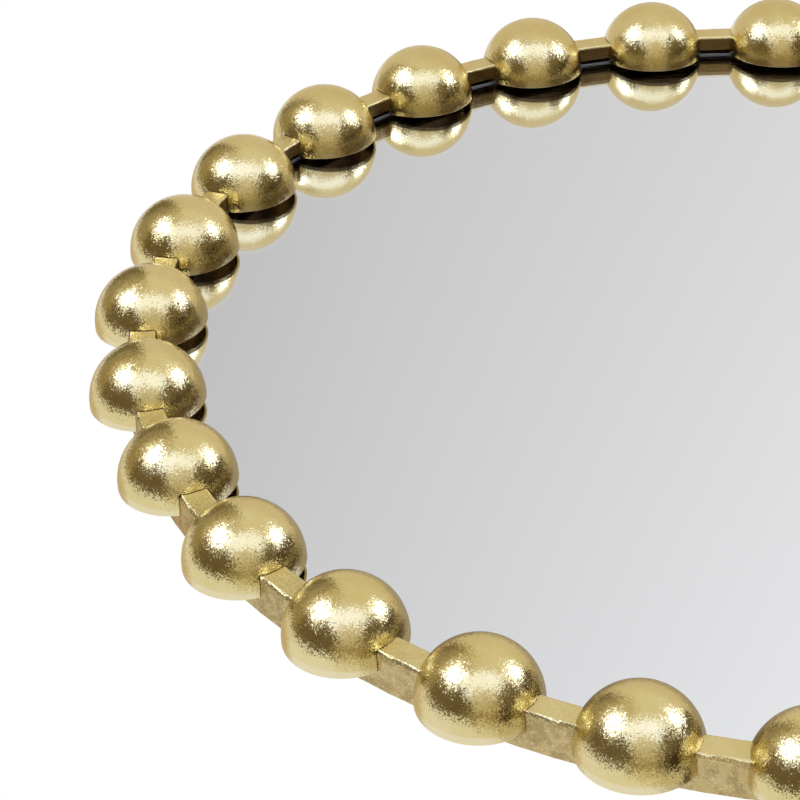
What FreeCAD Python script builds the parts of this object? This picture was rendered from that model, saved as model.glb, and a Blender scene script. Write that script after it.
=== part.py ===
import FreeCAD, Part
import math
import os

# A round wall mirror, 762 mm across, whose frame is a rolled steel ring that carries 29 hollow
# domes like beads on a string. The glass lies behind the ring's lip on a backing board.
# Lengths are in millimetres and angles in degrees. The mirror hangs upright: the front faces -Y,
# the wall is on the +Y side, +Z is up, and the origin is the middle of the board's back face.
# A level is the distance in front of the board's back face, so a point at a level has y = -level.

# Overall
overall_diameter = 762.0

# Domes
bead_count = 29
bead_radius = 29.5
bead_wall = 1.2
bead_skirt = 1.5
bead_rim_round = 0.4
lean_angle = 5.5
notch_clearance = 0.3

# Ring that the domes straddle: an outer wall, a top that slopes outward and a short inner lip
ring_width = 14.5
ring_sheet = 1.5
ring_rise_in_bead = 9.5
ring_set_out = 1.1
ring_lip_height = 9.1
ring_edge_round = 1.8
ring_lip_end_round_share = 0.47
ring_wall_end_round = 0.4

# Glass and what backs it
glass_thickness = 3.0
glass_behind_lip = 3.8
glass_to_lip = 3.5
glass_arris_width = 0.8
glass_arris_depth = 0.5
glass_back_seam = 0.5
silvering_thickness = 0.15
silvering_margin = 1.0
tape_thickness = 1.0
tape_height = 20.0
tape_strip_count = 5
tape_pitch = 110.0
tape_margin = 40.0
tape_rivet_clearance = 1.0
board_thickness = 5.0
board_edge_clearance = 0.5
board_back_chamfer = 0.6
board_proud = 0.3

# Threaded bosses under the ring's top, and the screws that hold the board to them
boss_count = 8
boss_first_angle = 22.5
boss_radius = 3.2
boss_tip_length = 1.5
screw_radius = 1.75
screw_thread_clearance = 0.1
screw_board_clearance = 0.3
screw_length = 13.0
screw_head_radius = 3.3
screw_head_height = 2.2
screw_head_crown = 0.9
screw_recess_length = 3.6
screw_recess_width = 0.8
screw_recess_depth = 1.2

# Strap hangers with their swinging D rings
hanger_spacing = 406.4
hanger_height = 170.0
strap_width = 16.0
strap_sheet = 1.2
strap_corner_round = 5.0
wire_radius = 1.25
wire_clearance = 0.3
ring_end_clearance = 0.5
ring_corner_radius = 3.0

# Rivets through strap and board
rivet_first_drop = 21.0
rivet_pitch = 15.0
strap_beyond_rivets = 8.0
rivet_radius = 1.6
rivet_hole_clearance = 0.1
rivet_head_radius = 3.4
rivet_head_height = 1.3
rivet_tail_radius = 3.0
rivet_tail_height = 0.7

# Rubber bumpers that keep the back off the wall
bumper_count = 4
bumper_thickness = 6.0
bumper_radius = 10.0
bumper_tip_radius = 8.5
bumper_edge_inset = 26.0
bumper_first_angle = 45.0
bumper_round = 1.2

# Every cut runs this much past the faces that it goes through
overrun = 5.0

# Levels, from the back to the front
wall_end_level = board_proud
tape_level = board_thickness
silver_level = tape_level + tape_thickness
glass_back_level = silver_level + silvering_thickness
glass_front_level = glass_back_level + glass_thickness
lip_end_level = glass_front_level + glass_to_lip
lip_top_level = lip_end_level + ring_lip_height

# Radii and slope
lean = math.radians(lean_angle)
bead_circle_radius = overall_diameter / 2 - bead_radius
ring_middle_radius = bead_circle_radius + ring_rise_in_bead * math.sin(lean) + ring_set_out
ring_inner_radius = ring_middle_radius - ring_width / 2
ring_outer_radius = ring_middle_radius + ring_width / 2
wall_inner_radius = ring_outer_radius - ring_sheet
glass_radius = ring_inner_radius + glass_behind_lip
board_radius = wall_inner_radius - board_edge_clearance
boss_circle_radius = (glass_radius + wall_inner_radius) / 2
ring_middle_level = lip_top_level - ring_width / 2 * math.tan(lean)
bead_level = ring_middle_level - ring_rise_in_bead * math.cos(lean)

UP = FreeCAD.Vector(0, 0, 1)
RIGHT = FreeCAD.Vector(1, 0, 0)
BACK = FreeCAD.Vector(0, 1, 0)
FRONT = FreeCAD.Vector(0, -1, 0)
ORIGIN = FreeCAD.Vector(0, 0, 0)


def at(radius, level):
    """A point of the cross-section: distance from the mirror's axis, and level."""
    return FreeCAD.Vector(radius, -level, 0)


def rounded_wire(corners):
    """A closed wire through (point, radius) corners, each rounded by a tangent arc."""
    starts = []
    ends = []
    edges = []
    count = len(corners)
    for i, (point, radius) in enumerate(corners):
        before = corners[i - 1][0] - point
        after = corners[(i + 1) % count][0] - point
        before.normalize()
        after.normalize()
        half = before.getAngle(after) / 2
        reach = radius / math.tan(half)
        starts.append(point + before * reach)
        ends.append(point + after * reach)
        if radius > 0:
            bisector = before + after
            bisector.normalize()
            middle = point + bisector * (radius / math.sin(half) - radius)
            edges.append(Part.Arc(starts[i], middle, ends[i]).toShape())
    for i in range(count):
        edges.append(Part.LineSegment(ends[i - 1], starts[i]).toShape())
    return Part.Wire(Part.__sortEdges__(edges))


def turned(wire):
    """The solid that a flat wire sweeps in a full turn about the mirror's axis."""
    return Part.Face(wire).revolve(ORIGIN, BACK, 360)


def round_the_axis(shape, index, count, first_angle=0.0):
    """A copy turned about the mirror's axis; index 0 with no first angle stays at the top."""
    copy = shape.copy()
    copy.rotate(ORIGIN, FRONT, -(first_angle + 360.0 * index / count))
    return copy


def top_level(radius, drop=0.0):
    """Level of the ring's sloping top at a radius, or of a line parallel to it below."""
    return ring_middle_level - (radius - ring_middle_radius) * math.tan(lean) - drop / math.cos(lean)


# The ring

def ring_frame():
    lip_back_radius = ring_inner_radius + ring_sheet
    lip_end_round = ring_lip_end_round_share * ring_sheet
    corners = [
        (at(ring_outer_radius, wall_end_level), ring_wall_end_round),
        (at(ring_outer_radius, top_level(ring_outer_radius)), ring_edge_round),
        (at(ring_inner_radius, top_level(ring_inner_radius)), ring_edge_round),
        (at(ring_inner_radius, lip_end_level), lip_end_round),
        (at(lip_back_radius, lip_end_level), lip_end_round),
        (at(lip_back_radius, top_level(lip_back_radius, ring_sheet)), 0),
        (at(wall_inner_radius, top_level(wall_inner_radius, ring_sheet)), 0),
        (at(wall_inner_radius, wall_end_level), 0),
    ]
    return turned(rounded_wire(corners))


def ring_envelope():
    """The space that the ring needs where it passes through a dome's wall."""
    inner = ring_inner_radius - notch_clearance
    outer = ring_outer_radius + notch_clearance
    inner_level = top_level(inner, -notch_clearance)
    outer_level = top_level(outer, -notch_clearance)
    end_level = bead_level - bead_radius
    disc = Part.makeCylinder(outer, outer_level - end_level, at(0, end_level), FRONT)
    slope = Part.makeCone(inner, outer, inner_level - outer_level, at(0, inner_level), BACK)
    hole_length = inner_level - end_level + 2 * overrun
    hole = Part.makeCylinder(inner, hole_length, at(0, end_level - overrun), FRONT)
    space = disc.fuse(slope).cut(hole).removeSplitter()
    front_edges = [e for e in space.Edges
                   if e.BoundBox.YMax < -bead_level and e.BoundBox.XLength > inner / 2]
    return space.makeFillet(ring_edge_round + notch_clearance, front_edges)


# The domes

def cap(radius, skirt):
    """A half ball with its pole on +Z, standing on a short cylinder of the same radius."""
    half_ball = Part.makeSphere(radius, ORIGIN, UP, 0, 90, 360)
    return half_ball.fuse(Part.makeCylinder(radius, skirt, UP * -skirt)).removeSplitter()


def bead_at_top():
    """The dome at twelve o'clock: a shell with a short skirt, leaning outward, notched for the ring."""
    outside = cap(bead_radius, bead_skirt)
    rim = [e for e in outside.Edges if e.BoundBox.ZMax < -bead_skirt / 2]
    inside = cap(bead_radius - bead_wall, bead_skirt + overrun)
    shell = outside.makeFillet(bead_rim_round, rim).cut(inside)
    axis = FRONT * math.cos(lean) + UP * math.sin(lean)
    centre = FreeCAD.Vector(0, -bead_level, bead_circle_radius)
    shell.Placement = FreeCAD.Placement(centre, FreeCAD.Rotation(UP, axis))
    return shell.cut(ring_envelope())


# Glass, silvering, tape and board

def mirror_glass():
    front_radius = glass_radius - glass_arris_width
    shoulder_level = glass_front_level - glass_arris_depth
    seam_level = glass_back_level + glass_back_seam
    corners = [
        (at(0, glass_back_level), 0),
        (at(glass_radius - glass_back_seam, glass_back_level), 0),
        (at(glass_radius, seam_level), 0),
        (at(glass_radius, shoulder_level), 0),
        (at(front_radius, glass_front_level), 0),
        (at(0, glass_front_level), 0),
    ]
    return turned(rounded_wire(corners))


def silvering():
    radius = glass_radius - silvering_margin
    return Part.makeCylinder(radius, silvering_thickness, at(0, silver_level), FRONT)


def rivet_places():
    """Centres of the rivets on the board's back face."""
    places = []
    for side in (-1, 1):
        for i in range(2):
            drop = rivet_first_drop + i * rivet_pitch
            places.append(FreeCAD.Vector(side * hanger_spacing / 2, 0, hanger_height - drop))
    return places


def foam_tape():
    """Level strips of tape between board and silvering, with holes where a rivet's tail would meet one."""
    strips = []
    for i in range(tape_strip_count):
        height = (i - (tape_strip_count - 1) / 2) * tape_pitch
        far_edge = abs(height) + tape_height / 2
        half_length = math.sqrt(glass_radius ** 2 - far_edge ** 2) - tape_margin
        corner = FreeCAD.Vector(-half_length, -silver_level, height - tape_height / 2)
        strips.append(Part.makeBox(2 * half_length, tape_thickness, tape_height, corner))
    hole_radius = rivet_tail_radius + tape_rivet_clearance
    hole_length = silver_level + 2 * overrun
    holes = [Part.makeCylinder(hole_radius, hole_length, place + BACK * overrun, FRONT)
             for place in rivet_places()]
    return Part.makeCompound([strip.cut(holes) for strip in strips])


def backing_board():
    corners = [
        (at(0, 0), 0),
        (at(board_radius - board_back_chamfer, 0), 0),
        (at(board_radius, board_back_chamfer), 0),
        (at(board_radius, board_thickness), 0),
        (at(0, board_thickness), 0),
    ]
    board = turned(rounded_wire(corners))
    through = board_thickness + 2 * overrun
    hole = Part.makeCylinder(
        screw_radius + screw_board_clearance, through,
        FreeCAD.Vector(0, overrun, boss_circle_radius), FRONT)
    holes = [round_the_axis(hole, i, boss_count, boss_first_angle) for i in range(boss_count)]
    for place in rivet_places():
        start = place + BACK * overrun
        holes.append(Part.makeCylinder(rivet_radius + rivet_hole_clearance, through, start, FRONT))
    return board.cut(holes)


# Bosses and screws

def boss_at_top():
    """A boss that stands on the board and meets the underside of the ring's sloping top."""
    foot = FreeCAD.Vector(0, -board_thickness, boss_circle_radius)
    boss = Part.makeCylinder(boss_radius, lip_top_level - board_thickness, foot, FRONT)
    near = boss_circle_radius - boss_radius - overrun
    far = boss_circle_radius + boss_radius + overrun
    beyond = lip_top_level + overrun
    above = turned(rounded_wire([
        (at(near, top_level(near, ring_sheet)), 0),
        (at(far, top_level(far, ring_sheet)), 0),
        (at(far, beyond), 0),
        (at(near, beyond), 0),
    ]))
    bore_length = screw_length - board_thickness + boss_tip_length
    bore = Part.makeCylinder(
        screw_radius + screw_thread_clearance, bore_length + overrun, foot + BACK * overrun, FRONT)
    return boss.cut([above, bore])


def screw_at_top():
    """A pan-head screw from the back, with a cross recess."""
    seat = FreeCAD.Vector(0, 0, boss_circle_radius)
    shank = Part.makeCylinder(screw_radius, screw_length, seat, FRONT)
    crown_radius = (screw_head_radius ** 2 + screw_head_crown ** 2) / (2 * screw_head_crown)
    ball = Part.makeSphere(crown_radius, seat + BACK * (screw_head_height - crown_radius))
    head = Part.makeCylinder(screw_head_radius, screw_head_height, seat, BACK).common(ball)
    screw = head.fuse(shank)
    floor = screw_head_height - screw_recess_depth
    long_way = (screw_recess_length, screw_recess_width)
    for length, width in (long_way, reversed(long_way)):
        corner = seat + FreeCAD.Vector(-length / 2, floor, -width / 2)
        screw = screw.cut(Part.makeBox(length, screw_recess_depth + overrun, width, corner))
    return screw.removeSplitter()


# Hangers

strap_length = rivet_first_drop + rivet_pitch + strap_beyond_rivets
loop_radius = wire_radius + wire_clearance + strap_sheet
ring_leg = strap_width + 2 * ring_end_clearance
ring_bow_radius = ring_leg / 2 + ring_corner_radius


def hanger_strap(x):
    """Strap rolled round the D ring's straight leg, with two rivet holes below the roll."""
    def section(y, z):
        return FreeCAD.Vector(x - strap_width / 2, y, hanger_height + z)

    meet = math.sqrt(loop_radius ** 2 - (loop_radius - strap_sheet) ** 2)
    profile = Part.Wire([
        Part.LineSegment(section(0, -strap_length), section(0, 0)).toShape(),
        Part.Arc(section(0, 0), section(loop_radius, loop_radius), section(2 * loop_radius, 0)).toShape(),
        Part.Arc(section(2 * loop_radius, 0), section(loop_radius, -loop_radius),
                 section(strap_sheet, -meet)).toShape(),
        Part.LineSegment(section(strap_sheet, -meet), section(strap_sheet, -strap_length)).toShape(),
        Part.LineSegment(section(strap_sheet, -strap_length), section(0, -strap_length)).toShape(),
    ])
    strap = Part.Face(profile).extrude(RIGHT * strap_width)
    bore_start = FreeCAD.Vector(x - strap_width / 2 - overrun, loop_radius, hanger_height)
    bore = Part.makeCylinder(wire_radius + wire_clearance, strap_width + 2 * overrun, bore_start, RIGHT)
    holes = [bore]
    for place in rivet_places():
        if place.x * x > 0:
            holes.append(Part.makeCylinder(
                rivet_radius + rivet_hole_clearance, strap_sheet + 2 * overrun, place - BACK * overrun, BACK))
    strap = strap.cut(holes)
    bottom = hanger_height - strap_length
    tip = [e for e in strap.Edges
           if abs(e.BoundBox.ZMax - bottom) < rivet_hole_clearance and e.BoundBox.YLength > strap_sheet / 2]
    return strap.makeFillet(strap_corner_round, tip)


def hanger_ring(x):
    """D ring hanging straight down from its leg, bent from round wire."""
    def point(dx, drop):
        return FreeCAD.Vector(x + dx, loop_radius, hanger_height - drop)

    half_leg = ring_leg / 2
    turn = ring_corner_radius
    bow = ring_bow_radius
    diagonal = math.sqrt(0.5)
    near = turn * (1 - diagonal)
    path = Part.Wire([
        Part.LineSegment(point(-half_leg, 0), point(half_leg, 0)).toShape(),
        Part.Arc(point(half_leg, 0), point(half_leg + turn * diagonal, near), point(bow, turn)).toShape(),
        Part.Arc(point(bow, turn), point(0, turn + bow), point(-bow, turn)).toShape(),
        Part.Arc(point(-bow, turn), point(-half_leg - turn * diagonal, near), point(-half_leg, 0)).toShape(),
    ])
    section = Part.Wire(Part.Circle(point(-half_leg, 0), RIGHT, wire_radius).toShape())
    return path.makePipeShell([section], True, False)


def hanger_rivets():
    """Domed heads on the straps, shanks through the board, and flat tails in front of it."""
    rivets = []
    grip = strap_sheet + board_thickness
    crown_radius = (rivet_head_radius ** 2 + rivet_head_height ** 2) / (2 * rivet_head_height)
    for place in rivet_places():
        seat = place + BACK * strap_sheet
        ball = Part.makeSphere(crown_radius, seat + BACK * (rivet_head_height - crown_radius))
        head = Part.makeCylinder(rivet_head_radius, rivet_head_height, seat, BACK).common(ball)
        shank = Part.makeCylinder(rivet_radius, grip + rivet_tail_height, seat, FRONT)
        tail = Part.makeCylinder(rivet_tail_radius, rivet_tail_height, seat + FRONT * grip, FRONT)
        rivets.append(head.fuse([shank, tail]).removeSplitter())
    return Part.makeCompound(rivets)


# Bumpers

def bumper_at_top():
    """A rubber foot that tapers towards the wall."""
    centre = FreeCAD.Vector(0, 0, board_radius - bumper_edge_inset)
    foot = Part.makeCone(bumper_radius, bumper_tip_radius, bumper_thickness, centre, BACK)
    tip = [e for e in foot.Edges if abs(e.BoundBox.YMin - bumper_thickness) < bumper_round / 2]
    return foot.makeFillet(bumper_round, tip)


def all_round(shape, count, first_angle=0.0):
    return Part.makeCompound([round_the_axis(shape, i, count, first_angle) for i in range(count)])


def build():
    nodes = {
        "ring_frame": ring_frame(),
        "mirror_glass": mirror_glass(),
        "silvering": silvering(),
        "foam_tape": foam_tape(),
        "backing_board": backing_board(),
        "frame_bosses": all_round(boss_at_top(), boss_count, boss_first_angle),
        "board_screws": all_round(screw_at_top(), boss_count, boss_first_angle),
        "hanger_strap_left": hanger_strap(-hanger_spacing / 2),
        "hanger_strap_right": hanger_strap(hanger_spacing / 2),
        "hanger_ring_left": hanger_ring(-hanger_spacing / 2),
        "hanger_ring_right": hanger_ring(hanger_spacing / 2),
        "hanger_rivets": hanger_rivets(),
        "wall_bumpers": all_round(bumper_at_top(), bumper_count, bumper_first_angle),
    }
    bead = bead_at_top()
    for i in range(bead_count):
        nodes["bead_%02d" % (i + 1)] = round_the_axis(bead, i, bead_count)
    return nodes


os.makedirs("parts", exist_ok=True)
for name, shape in build().items():
    shape.exportStep("parts/%s.step" % name)
    box = shape.BoundBox
    print(name, "valid", shape.isValid(), "solids", len(shape.Solids), "cm3", round(shape.Volume / 1000, 2),
          "x", round(box.XMin, 1), round(box.XMax, 1), "y", round(box.YMin, 2), round(box.YMax, 2),
          "z", round(box.ZMin, 1), round(box.ZMax, 1))
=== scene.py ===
import math

import bpy
from mathutils import Matrix, Vector


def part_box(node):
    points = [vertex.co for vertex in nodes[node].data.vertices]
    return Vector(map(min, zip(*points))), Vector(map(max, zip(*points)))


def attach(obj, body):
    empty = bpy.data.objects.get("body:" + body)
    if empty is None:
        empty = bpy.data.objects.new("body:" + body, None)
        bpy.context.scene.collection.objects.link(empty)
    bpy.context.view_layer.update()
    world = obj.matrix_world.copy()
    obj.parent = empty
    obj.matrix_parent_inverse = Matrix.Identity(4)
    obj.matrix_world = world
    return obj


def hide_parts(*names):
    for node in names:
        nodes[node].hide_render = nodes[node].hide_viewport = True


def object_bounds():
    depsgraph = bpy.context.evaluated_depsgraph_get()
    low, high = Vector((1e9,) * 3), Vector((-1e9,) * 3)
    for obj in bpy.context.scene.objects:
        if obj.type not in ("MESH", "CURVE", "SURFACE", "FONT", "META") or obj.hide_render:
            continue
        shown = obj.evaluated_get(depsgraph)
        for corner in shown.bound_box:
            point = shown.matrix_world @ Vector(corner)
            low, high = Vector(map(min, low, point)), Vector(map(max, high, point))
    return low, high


# A round wall mirror with a ring of gold-leafed beads. Lengths are in metres, in the part's own frame:
# the front faces -Y, the wall is on the +Y side and +Z is up. A level is the distance in front of the
# origin, so a point at a level has y = -level.
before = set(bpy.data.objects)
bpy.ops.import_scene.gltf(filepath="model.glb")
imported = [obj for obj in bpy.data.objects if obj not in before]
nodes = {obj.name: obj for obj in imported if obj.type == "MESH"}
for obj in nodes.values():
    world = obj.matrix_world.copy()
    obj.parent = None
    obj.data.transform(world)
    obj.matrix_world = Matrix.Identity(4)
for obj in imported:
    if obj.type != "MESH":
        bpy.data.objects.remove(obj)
cad_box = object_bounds()

mm = 0.001
bead_wall = 1.2 * mm
ring_sheet = 1.5 * mm
ring_width = 14.5 * mm
glass_arris = 0.8 * mm
coat_bite = 0.05 * mm
coat_sides = 256

beads = [name for name in nodes if name.startswith("bead_")]
bead_pitch = 2 * math.pi / len(beads)
bead_low, bead_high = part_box("bead_01")
ring_low, ring_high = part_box("ring_frame")
bead_radius = bead_high.x
bead_circle = bead_high.z - bead_radius
bead_level = -bead_low.y - bead_radius
ring_outer = ring_high.x
ring_inner = ring_outer - ring_width
ring_front = -ring_low.y
glass_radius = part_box("mirror_glass")[1].x


# Shader nodes

class Shader:
    """A material or world under construction, with short calls for the nodes that recur."""

    def __init__(self, owner):
        owner.use_nodes = True
        self.tree = owner.node_tree
        self.tree.nodes.clear()

    def add(self, kind, **settings):
        node = self.tree.nodes.new(kind)
        for name, value in settings.items():
            setattr(node, name, value)
        return node

    def put(self, socket, value):
        """Link the value to the socket if it comes from a node, and otherwise set it there."""
        if isinstance(value, bpy.types.NodeSocket):
            self.tree.links.new(value, socket)
        elif value is not None:
            socket.default_value = value

    def fill(self, node, **values):
        """Put values into a node's sockets; a socket's name has underscores for spaces here."""
        for name, value in values.items():
            self.put(node.inputs[name.replace("_", " ")], value)

    def math(self, operation, *values):
        node = self.add("ShaderNodeMath", operation=operation)
        for socket, value in zip(node.inputs, values):
            self.put(socket, value)
        return node.outputs[0]

    def product(self, first, *others):
        for other in others:
            first = self.math("MULTIPLY", first, other)
        return first

    def length(self, first, *others):
        """The length of the vector that has these parts."""
        total = self.math("MULTIPLY", first, first)
        for other in others:
            total = self.math("ADD", total, self.math("MULTIPLY", other, other))
        return self.math("SQRT", total)

    def place(self):
        return self.add("ShaderNodeTexCoord").outputs["Object"]

    def split(self, vector):
        node = self.add("ShaderNodeSeparateXYZ")
        self.put(node.inputs[0], vector)
        return node.outputs

    def noise(self, scale, detail=3.0, roughness=0.5, distortion=0.0):
        """Clouds, of which about that many come to a metre."""
        node = self.add("ShaderNodeTexNoise")
        self.fill(node, Vector=self.place(), Scale=scale, Detail=detail, Roughness=roughness,
                  Distortion=distortion)
        return node.outputs[0]

    def cells(self, scale, feature="F1", output="Distance"):
        """Cells, of which about that many come to a metre."""
        node = self.add("ShaderNodeTexVoronoi", feature=feature)
        self.fill(node, Vector=self.place(), Scale=scale)
        return node.outputs[output]

    def fade(self, value, low, high, to_low=0.0, to_high=1.0):
        """A smooth step of value: to_low at low and to_high at high, held beyond them."""
        node = self.add("ShaderNodeMapRange", interpolation_type="SMOOTHSTEP")
        self.fill(node, Value=value, From_Min=low, From_Max=high, To_Min=to_low, To_Max=to_high)
        return node.outputs[0]

    def vary(self, noise, to_low=0.0, to_high=1.0, margin=0.3):
        """A smooth step over the middle of a noise's range, where most of its values lie."""
        return self.fade(noise, margin, 1.0 - margin, to_low, to_high)

    def band(self, value, low, high, soft):
        """1 from low to high and 0 outside them, over edges of that softness."""
        half = soft / 2
        rise = self.fade(value, low - half, low + half)
        fall = self.fade(value, high + half, high - half)
        return self.product(rise, fall)

    def mix(self, share, a, b):
        """Colour a where share is 0 and b where it is 1."""
        node = self.add("ShaderNodeMix", data_type="RGBA")
        colours = [socket for socket in node.inputs if socket.type == "RGBA"]
        self.put(node.inputs[0], share)
        self.put(colours[0], a)
        self.put(colours[1], b)
        return next(socket for socket in node.outputs if socket.type == "RGBA")

    def greys(self, value, dark, light):
        """A grey that goes evenly from dark where value is 0 to light where it is 1."""
        node = self.add("ShaderNodeValToRGB")
        for stop, level in zip(node.color_ramp.elements, (dark, light)):
            stop.color = rgb(level, level, level)
        self.put(node.inputs[0], value)
        return node.outputs[0]

    def bump(self, height, depth, below=None):
        """A bump of that depth in metres at height 1, on top of an earlier bump."""
        node = self.add("ShaderNodeBump")
        self.fill(node, Strength=1.0, Distance=depth, Height=height, Normal=below)
        return node.outputs[0]

    def vector(self, operation, a, b=None, scale=None):
        node = self.add("ShaderNodeVectorMath", operation=operation)
        for socket, value in zip(node.inputs, (a, b, None, scale)):
            self.put(socket, value)
        return node.outputs[0]

    def facets(self, scale, slight, strong, below):
        """Cells that each lean their own way: most of them slightly, a few strongly."""
        stir_red, stir_green, rarity = 7.3, 5.1, 1.5
        chance = self.cells(scale, output="Color")
        red, green, _ = self.split(chance)
        stirred = self.math("MULTIPLY_ADD", red, stir_red, self.math("MULTIPLY", green, stir_green))
        draw = self.math("POWER", self.math("FRACT", stirred), rarity)
        lean = self.math("MULTIPLY_ADD", draw, strong - slight, slight)
        way = self.vector("SUBTRACT", chance, (0.5, 0.5, 0.5))
        offset = self.vector("SCALE", way, scale=lean)
        return self.vector("NORMALIZE", self.vector("ADD", below, offset))

    def show(self, shader_node, output="ShaderNodeOutputMaterial"):
        """Put a shader node on the output of the material or the world."""
        self.fill(self.add(output), Surface=shader_node.outputs[0])

    def finish(self, **settings):
        """Show a principled surface that has these settings."""
        surface = self.add("ShaderNodeBsdfPrincipled")
        self.fill(surface, **settings)
        self.show(surface)


def rgb(red, green, blue):
    return (red, green, blue, 1.0)


def new_material(name):
    """A material and the shader that it is made with."""
    material = bpy.data.materials.new(name)
    return material, Shader(material)


def new_object(name, data):
    made = bpy.data.objects.new(name, data)
    bpy.context.scene.collection.objects.link(made)
    return made


# Gold leaf

leaf_pale = rgb(0.80, 0.69, 0.37)
leaf_deep = rgb(0.76, 0.64, 0.31)
leaf_worn_and_highlit = rgb(0.86, 0.78, 0.55)
leaf_pit = rgb(0.26, 0.15, 0.05)
leaf_grey = rgb(0.58, 0.45, 0.21)
leaf_dun = rgb(0.43, 0.32, 0.14)
leaf_fleck = rgb(0.74, 0.64, 0.38)
leaf_brown_shade = rgb(0.25, 0.17, 0.07)
# Umber paint lines the hollows: inside the domes, the ring's channel and the bosses. Its darkness is also
# painted shade, standing in for the shade that falls there.
umber_shade_light = rgb(0.20, 0.115, 0.030)
umber_shade_dark = rgb(0.13, 0.072, 0.018)
umber_roughness = 0.7

# How many of these come to a metre of leaf
drift_scale = 45.0
dent_scale = 70.0
crease_scale = 330.0
grain_scale = 1700.0
pit_scale = 1300.0

crease_share = 0.10
pit_low, pit_high, pit_strength = 0.64, 0.76, 0.5


def about_axis(shader):
    """Each point's distance from the mirror's axis, its angle from the top and its level."""
    x, y, z = shader.split(shader.place())
    return shader.length(x, z), shader.math("ARCTAN2", x, z), shader.math("MULTIPLY", y, -1.0)


def leaf_grain(shader, slight, strong, crease_depth, dent_depth):
    """The surface of aged metal leaf: slow dents, fine creases and grains that each glint by themselves."""
    dents = shader.bump(shader.noise(dent_scale, detail=2.0), dent_depth)
    cracked = shader.cells(crease_scale, feature="DISTANCE_TO_EDGE")
    creases = shader.bump(shader.fade(cracked, 0.0, crease_share), crease_depth, dents)
    return shader.facets(grain_scale, slight, strong, creases)


def leaf_colour(shader, worn):
    """Gold that drifts between pale and deep, rubbed pale where worn is 1, with dark pin holes; at the bead
    rims that pale is also a painted highlight.
    """
    drift = shader.vary(shader.noise(drift_scale), margin=0.35)
    gold = shader.mix(drift, leaf_pale, leaf_deep)
    rubbed = shader.mix(worn, gold, leaf_worn_and_highlit)
    holes = shader.noise(pit_scale, detail=2.0, roughness=0.6)
    pits = shader.fade(holes, pit_low, pit_high, 0.0, pit_strength)
    return shader.mix(pits, rubbed, leaf_pit)


def umber_and_shade_colour(shader):
    """Thin brown paint over bare metal, cloudy from the brush, and dark enough to be painted shade in the
    hollows it lines.
    """
    clouds = shader.vary(shader.noise(scale=120.0, detail=4.0), margin=0.35)
    return shader.mix(clouds, umber_shade_light, umber_shade_dark)


def bead_gold():
    """Leaf on the outside of the domes, rubbed pale towards their rims, where the pale is also a painted
    highlight, and umber paint inside them, dark as painted shade.
    """
    paint_share, leaf_share = 0.8, 0.4
    rim_top, rim_foot, rim_wear_and_highlight = 0.3 * mm, -1.2 * mm, 0.6
    material, s = new_material("bead_gold_leaf")
    radius, angle, level = about_axis(s)
    turn = s.math("WRAP", angle, bead_pitch / 2, -bead_pitch / 2)
    across = s.product(radius, s.math("SINE", turn))
    outward = s.math("SUBTRACT", s.product(radius, s.math("COSINE", turn)), bead_circle)
    height = s.math("SUBTRACT", level, bead_level)
    from_centre = s.length(across, outward, height)
    # Inside the domes the umber stands in for the shade in the hollow: painted shade.
    outside = s.fade(from_centre, bead_radius - paint_share * bead_wall, bead_radius - leaf_share * bead_wall)
    # Paler leaf along the rims: wear, and also a painted highlight along the rim edge.
    rim = s.fade(height, rim_top, rim_foot)
    polish = s.vary(s.noise(scale=160.0, detail=4.0), to_low=0.15, to_high=0.20)
    s.finish(
        Base_Color=s.mix(outside, umber_and_shade_colour(s), leaf_colour(s, s.product(rim, rim_wear_and_highlight))),
        Metallic=outside,
        Roughness=s.fade(outside, 0.0, 1.0, umber_roughness, polish),
        Normal=leaf_grain(s, slight=0.10, strong=0.26, crease_depth=0.015 * mm, dent_depth=0.25 * mm))
    return material


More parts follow.
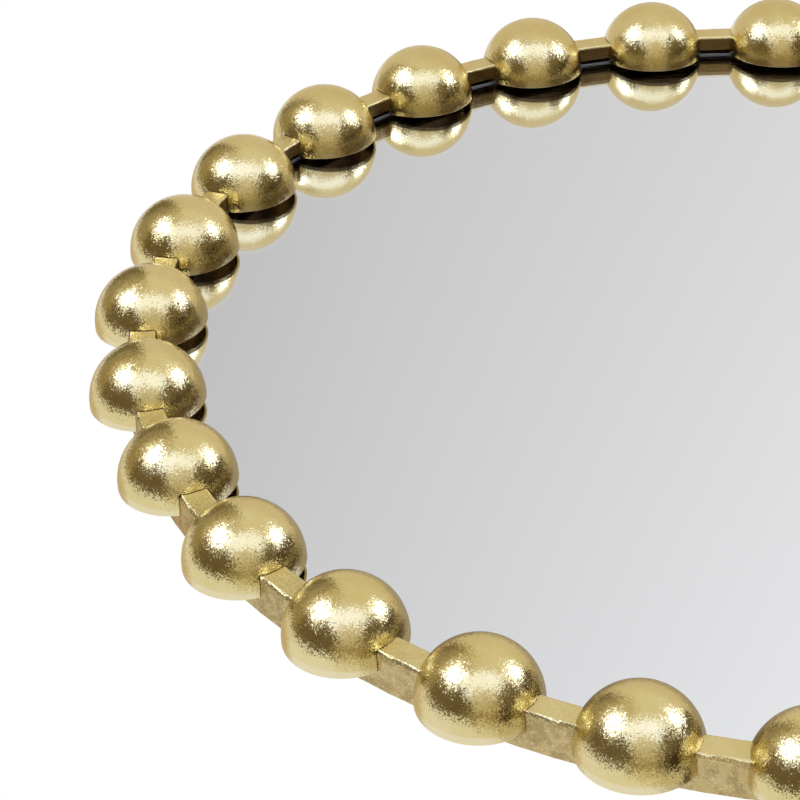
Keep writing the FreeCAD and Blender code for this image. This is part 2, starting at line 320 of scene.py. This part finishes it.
def ring_gold():
    """Leaf on the ring and umber paint inside its channel, whose darkness is painted shade.

    The leaf is greyer on the outer wall, rubbed along that wall's front edge and brown inside the lip, where
    the brown is painted shade.
    """
    deep, shallow = 0.4 * mm, 0.1 * mm
    edge_foot, edge_top, edge_wear = 3.2 * mm, 1.6 * mm, 0.8
    shade_top, shade_foot = 1.0 * mm, 1.8 * mm
    channel_depth = 1.8 * ring_sheet
    fleck_low, fleck_high = 0.54, 0.66
    leaf_roughness = 0.30
    material, s = new_material("ring_gold_leaf")
    radius, _, level = about_axis(s)
    past_lip = s.math("GREATER_THAN", radius, ring_inner + ring_sheet / 2)
    before_wall = s.math("LESS_THAN", radius, ring_outer - ring_sheet / 2)
    below_top = s.math("LESS_THAN", level, ring_front - channel_depth)
    # The umber in the channel is painted shade as well as paint.
    channel = s.product(past_lip, before_wall, below_top)
    wall = s.fade(radius, ring_outer - deep, ring_outer - shallow)
    near_front = s.fade(level, ring_front - edge_foot, ring_front - edge_top)
    gold = leaf_colour(s, s.product(wall, near_front, edge_wear))
    crumple = s.noise(scale=750.0, detail=5.0, roughness=0.7, distortion=0.6)
    patches = s.vary(s.noise(scale=160.0), margin=0.42)
    worn_wall = s.mix(s.fade(crumple, fleck_low, fleck_high), s.mix(patches, leaf_grey, leaf_dun), leaf_fleck)
    aged = s.mix(s.product(wall, s.math("SUBTRACT", 1.0, near_front)), gold, worn_wall)
    # Brown leaf on the lip's inner wall below its round edge: painted shade.
    lip = s.fade(radius, ring_inner + deep, ring_inner + shallow)
    below_round = s.fade(level, ring_front - shade_top, ring_front - shade_foot)
    outside = s.mix(s.product(lip, below_round), aged, leaf_brown_shade)
    s.finish(
        Base_Color=s.mix(channel, outside, umber_and_shade_colour(s)),
        Metallic=s.math("SUBTRACT", 1.0, channel),
        Roughness=s.fade(channel, 0.0, 1.0, leaf_roughness, umber_roughness),
        Normal=leaf_grain(s, slight=0.15, strong=0.45, crease_depth=0.04 * mm, dent_depth=0.08 * mm))
    return material


def inner_paint_and_shade():
    """The umber paint of the bosses behind the leaf, dark so that they show as shade in the ring's slit:
    painted shade.
    """
    material, s = new_material("umber_paint_and_shade")
    brushed = s.noise(scale=500.0, detail=4.0)
    s.finish(
        Base_Color=umber_and_shade_colour(s),
        Roughness=s.vary(brushed, to_low=0.55, to_high=0.75),
        Normal=s.bump(brushed, depth=0.05 * mm))
    return material


# Glass and the rest

def clear_glass():
    """Clear glass with hardly any waves in it, and frosted where its edge is ground."""
    clear = rgb(0.985, 0.985, 0.995)
    frost_shade = rgb(0.88, 0.93, 0.97)
    frost_light = rgb(0.97, 0.99, 1.00)
    frost_roughness = 0.40
    ground_start, ground_full = 0.9, 0.7
    material, s = new_material("clear_float_glass")
    radius, _, _ = about_axis(s)
    ground = s.fade(
        radius, glass_radius - ground_start * glass_arris, glass_radius - ground_full * glass_arris)
    grit = s.vary(s.noise(scale=1800.0, detail=2.0))
    s.finish(
        Base_Color=s.mix(ground, clear, s.mix(grit, frost_shade, frost_light)),
        Roughness=s.fade(ground, 0.0, 1.0, 0.0, frost_roughness),
        IOR=1.52,
        Transmission_Weight=s.fade(ground, 0.0, 1.0, 1.0, 0.0),
        Normal=s.bump(s.noise(scale=9.0, detail=1.0), depth=0.002 * mm))
    return material


def mirror_silver():
    """The silver coat behind the glass, with a faint haze."""
    material, s = new_material("mirror_silver")
    haze = s.vary(s.noise(scale=14.0, detail=2.0), to_low=0.0, to_high=0.006)
    s.finish(Base_Color=rgb(0.92, 0.935, 0.96), Metallic=1.0, Roughness=haze)
    return material


def foam():
    """White foam with fine pores."""
    pore_grey = rgb(0.72, 0.72, 0.70)
    foam_white = rgb(0.86, 0.86, 0.84)
    pore_low, pore_high = 0.1, 0.6
    material, s = new_material("white_foam_tape")
    pores = s.cells(scale=1400.0)
    colour = s.mix(s.fade(pores, pore_low, pore_high), pore_grey, foam_white)
    s.finish(Base_Color=colour, Roughness=0.85, Normal=s.bump(pores, depth=0.15 * mm))
    return material


def black_board():
    """Fibreboard with a black lacquered face that shows the fibres under it."""
    lacquer_deep = rgb(0.022, 0.021, 0.020)
    lacquer_pale = rgb(0.034, 0.031, 0.029)
    fibre_brown = rgb(0.085, 0.072, 0.058)
    fibre_low, fibre_high, fibre_strength = 0.58, 0.75, 0.5
    material, s = new_material("black_fibreboard")
    fibres = s.noise(scale=650.0, detail=6.0, roughness=0.7, distortion=1.5)
    clouds = s.noise(scale=12.0)
    lacquer = s.mix(s.vary(clouds), lacquer_deep, lacquer_pale)
    bare = s.fade(fibres, fibre_low, fibre_high, 0.0, fibre_strength)
    s.finish(
        Base_Color=s.mix(bare, lacquer, fibre_brown),
        Roughness=s.vary(clouds, to_low=0.5, to_high=0.66),
        Normal=s.bump(fibres, depth=0.08 * mm))
    return material


def zinc_steel():
    """Zinc-plated steel with faint spangle and fine scratches."""
    zinc_pale = rgb(0.62, 0.63, 0.64)
    zinc_blue = rgb(0.50, 0.51, 0.54)
    spangle_reach = 0.8
    material, s = new_material("zinc_plated_steel")
    clouds = s.vary(s.noise(scale=90.0, detail=4.0), margin=0.35)
    spangle = s.cells(scale=260.0)
    scratches = s.noise(scale=900.0, detail=5.0, roughness=0.75)
    s.finish(
        Base_Color=s.mix(clouds, zinc_pale, zinc_blue),
        Metallic=1.0,
        Roughness=s.fade(spangle, 0.0, spangle_reach, to_low=0.24, to_high=0.38),
        Normal=s.bump(scratches, depth=0.02 * mm))
    return material


def rubber():
    """Black rubber with a little dust on it."""
    rubber_black = rgb(0.018, 0.018, 0.019)
    dust_grey = rgb(0.075, 0.073, 0.070)
    dust_low, dust_high, dust_strength = 0.5, 0.8, 0.4
    material, s = new_material("black_rubber")
    grain = s.noise(scale=1300.0)
    dust = s.fade(s.noise(scale=220.0), dust_low, dust_high, 0.0, dust_strength)
    s.finish(
        Base_Color=s.mix(dust, rubber_black, dust_grey),
        Roughness=0.72,
        Normal=s.bump(grain, depth=0.06 * mm))
    return material


def dress(material, *names):
    """Give the nodes of these names that material."""
    for name in names:
        slots = nodes[name].data.materials
        slots.clear()
        slots.append(material)


dress(bead_gold(), *beads)
dress(ring_gold(), "ring_frame")
dress(clear_glass(), "mirror_glass")
dress(foam(), "foam_tape")
dress(black_board(), "backing_board")
dress(rubber(), "wall_bumpers")
dress(inner_paint_and_shade(), "frame_bosses")
dress(zinc_steel(), "board_screws", "hanger_strap_left", "hanger_strap_right",
      "hanger_ring_left", "hanger_ring_right", "hanger_rivets")


# Silver coat

def disc(name, radius, back, front):
    """A thin round plate about the Y axis; back and front are values of y."""
    points = []
    for y in (back, front):
        for i in range(coat_sides):
            turn = 2 * math.pi * i / coat_sides
            points.append((radius * math.cos(turn), y, radius * math.sin(turn)))
    faces = [tuple(range(coat_sides)), tuple(reversed(range(coat_sides, 2 * coat_sides)))]
    for i in range(coat_sides):
        after = (i + 1) % coat_sides
        faces.append((after, i, coat_sides + i, coat_sides + after))
    mesh = bpy.data.meshes.new(name)
    mesh.from_pydata(points, [], faces)
    mesh.update()
    return new_object(name, mesh)


# The coat lies a hair inside the glass, so that the two faces don't fall together.
silver_low, silver_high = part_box("silvering")
coat = disc("mirror_coat", silver_high.x, silver_high.y - coat_bite, silver_low.y - coat_bite)
coat.data.materials.append(mirror_silver())
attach(coat, "mirror")
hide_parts("silvering")


# Studio

floor_drop = 1.1
floor_size = 16.0
floor_white = rgb(0.93, 0.93, 0.93)
floor_shaded = rgb(0.12, 0.12, 0.12)
world_grey = rgb(0.72, 0.72, 0.72)
white = rgb(1, 1, 1)
black = rgb(0, 0, 0)
lamp_distance = 3.0

# The lamps are bluish, so that their highlights on gold come out nearly white.
lamp_colour = (0.64, 0.74, 1.0)

# What gold receives by way of the mirror is dimmed towards umber by this share.
mirror_loss = 0.6

# What stands round the mirror in the studio, as metal shows it. Longitude 0 is straight out in front of the
# mirror, +X is at 90 and latitude 90 is up. Each later zone lies over the ones before it.
pale_room = rgb(0.90, 0.90, 0.90)
zones = (
    # west, east, low, high, soft, colour
    (-150, -66, -100, 18, 20, rgb(0.46, 0.40, 0.27)),
    (-170, -112, -100, -20, 20, rgb(0.30, 0.22, 0.12)),
    (-150, -66, 18, 100, 20, rgb(0.64, 0.58, 0.42)),
    (112, 190, -66, -22, 16, rgb(0.64, 0.51, 0.33)),
    (-138, -66, -34, 16, 10, rgb(0.09, 0.055, 0.022)),
    (-70, -24, 52, 68, 12, rgb(0.48, 0.42, 0.29)),
    (-72, -39, 13, 54, 10, rgb(0.17, 0.125, 0.06)),
    (-112, -70, 13, 64, 10, rgb(0.04, 0.026, 0.010)),
    (-66, 22, -100, 10, 8, rgb(0.79, 0.74, 0.60)),
    (12, 98, -44, -6, 10, rgb(0.35, 0.28, 0.14)),
    (12, 98, -100, -44, 14, rgb(0.20, 0.155, 0.075)),
    (10, 66, -30, 12, 8, rgb(0.62, 0.54, 0.38)),
    (-36, 42, 8, 38, 8, rgb(1.26, 1.38, 1.90)),
    (-28, 24, 38, 56, 10, rgb(0.74, 0.69, 0.62)),
    (-28, 50, 56, 75, 10, rgb(0.56, 0.49, 0.36)),
    (62, 98, -14, 30, 8, rgb(0.16, 0.115, 0.055)),
    (38, 98, 18, 66, 8, rgb(0.15, 0.11, 0.053)),
    (30, 55, -14, 13, 16, rgb(2.20, 2.45, 3.35)),
    (-64, -41, -17, 7, 16, rgb(2.00, 2.20, 3.00)),
    (-200, 200, 66, 100, 14, rgb(0.70, 0.64, 0.47)),
    (-120, -46, 62, 100, 12, rgb(0.36, 0.28, 0.15)),
    (58, 112, 62, 100, 12, rgb(0.28, 0.22, 0.11)),
    (-46, 58, 75, 100, 10, rgb(0.34, 0.27, 0.14)),
)


def surroundings(shader, direction):
    """The colour of the studio in that direction from the mirror."""
    x, y, z = shader.split(shader.vector("NORMALIZE", direction))
    forward = shader.math("MULTIPLY", y, -1.0)
    longitude = shader.math("DEGREES", shader.math("ARCTAN2", x, forward))
    latitude = shader.math("DEGREES", shader.math("ARCSINE", z))
    colour = pale_room
    for west, east, low, high, soft, tone in zones:
        along = shader.band(longitude, west, east, soft)
        up = shader.band(latitude, low, high, soft)
        colour = shader.mix(shader.product(along, up), colour, tone)
    return colour


def by_ray(shader, metal, glass, camera):
    """One colour for what metal receives, one for what the mirror itself shows, and one for the camera.

    Light that leaves the glass after two or more reflections has come to metal by way of the mirror, and is
    the metal's colour dimmed.
    """
    between_one_and_two = 1.5
    path = shader.add("ShaderNodeLightPath")
    straight = shader.math("LESS_THAN", path.outputs["Glossy Depth"], between_one_and_two)
    out_of_glass = path.outputs["Is Transmission Ray"]
    by_mirror = shader.product(out_of_glass, straight)
    twice = shader.math("SUBTRACT", out_of_glass, by_mirror)
    dimmed = shader.mix(shader.product(twice, mirror_loss), metal, umber_shade_dark)
    seen = shader.mix(by_mirror, dimmed, glass)
    return shader.mix(path.outputs["Is Camera Ray"], seen, camera)


def pale_floor():
    """A pale floor, white to the camera. The mirror shows it grey, lighter towards -X and the front."""
    toward_front, toward_side = -0.27, -1.0
    steepness, middle = 0.5, 0.5
    darkest, lightest = 0.24, 0.99
    material, s = new_material("studio_floor")
    place = s.place()
    x, y, _ = s.split(place)
    slant = s.math("MULTIPLY_ADD", y, toward_front, s.math("MULTIPLY", x, toward_side))
    grey = s.greys(s.math("MULTIPLY_ADD", slant, steepness, middle), darkest, lightest)
    path = s.add("ShaderNodeLightPath")
    lit = s.add("ShaderNodeBsdfDiffuse")
    s.fill(lit, Color=s.mix(path.outputs["Is Camera Ray"], black, floor_shaded))
    shine = s.add("ShaderNodeEmission")
    s.fill(shine, Color=by_ray(s, surroundings(s, place), grey, floor_white))
    both = s.add("ShaderNodeAddShader")
    s.put(both.inputs[0], lit.outputs[0])
    s.put(both.inputs[1], shine.outputs[0])
    s.show(both)
    return material


def level_sheet(name, west, east, front, back, height):
    """A rectangle that lies level; front and back are values of y."""
    corners = [(west, front, height), (east, front, height), (east, back, height), (west, back, height)]
    mesh = bpy.data.meshes.new(name)
    mesh.from_pydata(corners, [], [(0, 1, 2, 3)])
    return new_object(name, mesh)


def studio_floor():
    half = floor_size / 2
    floor = level_sheet("floor", -half, half, -half, half, cad_box[0].z - floor_drop)
    floor.data.materials.append(pale_floor())


def glowing_low_card():
    """A pale sheet close under the mirror's foot that glows, as a painted reflection that only the metal
    shows, and glows darker near the wall as painted shade.
    """
    west, east, near, far, height = -1.1, 0.40, 0.0, -1.3, -0.50
    shaded_by_the_wall = rgb(0.71, 0.63, 0.49)
    in_front = rgb(0.82, 0.79, 0.67)
    material, s = new_material("glowing_low_card")
    _, y, _ = s.split(s.place())
    # The sheet glows rather than being lit: painted reflection, darker by the wall as painted shade.
    shine = s.add("ShaderNodeEmission")
    s.fill(shine, Color=s.mix(s.fade(y, near, far), shaded_by_the_wall, in_front))
    s.show(shine)
    card = level_sheet("glowing_low_card", west, east, far, near, height)
    card.data.materials.append(material)
    for kind in ("camera", "diffuse", "transmission", "volume_scatter", "shadow"):
        setattr(card, "visible_" + kind, False)


def studio_world():
    """White to the camera, pale grey in the mirror, and the studio's zones to the rest."""
    world = bpy.data.worlds.new("studio")
    bpy.context.scene.world = world
    s = Shader(world)
    direction = s.add("ShaderNodeTexCoord").outputs["Generated"]
    background = s.add("ShaderNodeBackground")
    s.fill(background, Color=by_ray(s, surroundings(s, direction), world_grey, white))
    s.show(background, "ShaderNodeOutputWorld")


def toward(longitude, latitude):
    """A unit vector in that direction from the mirror."""
    a, b = math.radians(longitude), math.radians(latitude)
    return Vector((math.sin(a) * math.cos(b), -math.cos(a) * math.cos(b), math.sin(b)))


def softbox(name, longitude, latitude, width, height, power):
    """A soft lamp that faces the mirror from that direction."""
    light = bpy.data.lights.new(name, "AREA")
    light.shape = "RECTANGLE"
    light.size = width
    light.size_y = height
    light.energy = power
    light.color = lamp_colour
    lamp = new_object(name, light)
    direction = toward(longitude, latitude)
    lamp.location = direction * lamp_distance
    lamp.rotation_mode = "QUATERNION"
    lamp.rotation_quaternion = direction.to_track_quat("Z", "Y")
    lamp.visible_camera = False
    lamp.visible_transmission = False


def studio_camera():
    """A long lens above the mirror's front, with the mirror's foot up in the picture."""
    place = Vector((0.37022, -0.92409, 1.47465))
    aim = Vector((0.22524, -0.01305, 0.03351))
    top = Vector((-0.03913, -0.84639, -0.53113))
    data = bpy.data.cameras.new("camera")
    data.sensor_width = 36.0
    data.lens = 153.5
    camera = new_object("camera", data)
    back = (place - aim).normalized()
    right = top.cross(back).normalized()
    up = back.cross(right)
    camera.matrix_world = Matrix.Translation(place) @ Matrix((right, up, back)).transposed().to_4x4()
    bpy.context.scene.camera = camera


studio_floor()
glowing_low_card()
studio_world()
softbox("softbox_right", longitude=44.0, latitude=0.0, width=1.20, height=1.25, power=13.0)
softbox("softbox_left", longitude=-52.0, latitude=-5.0, width=1.05, height=1.10, power=10.0)
studio_camera()
bpy.context.scene.view_settings.view_transform = "Standard"
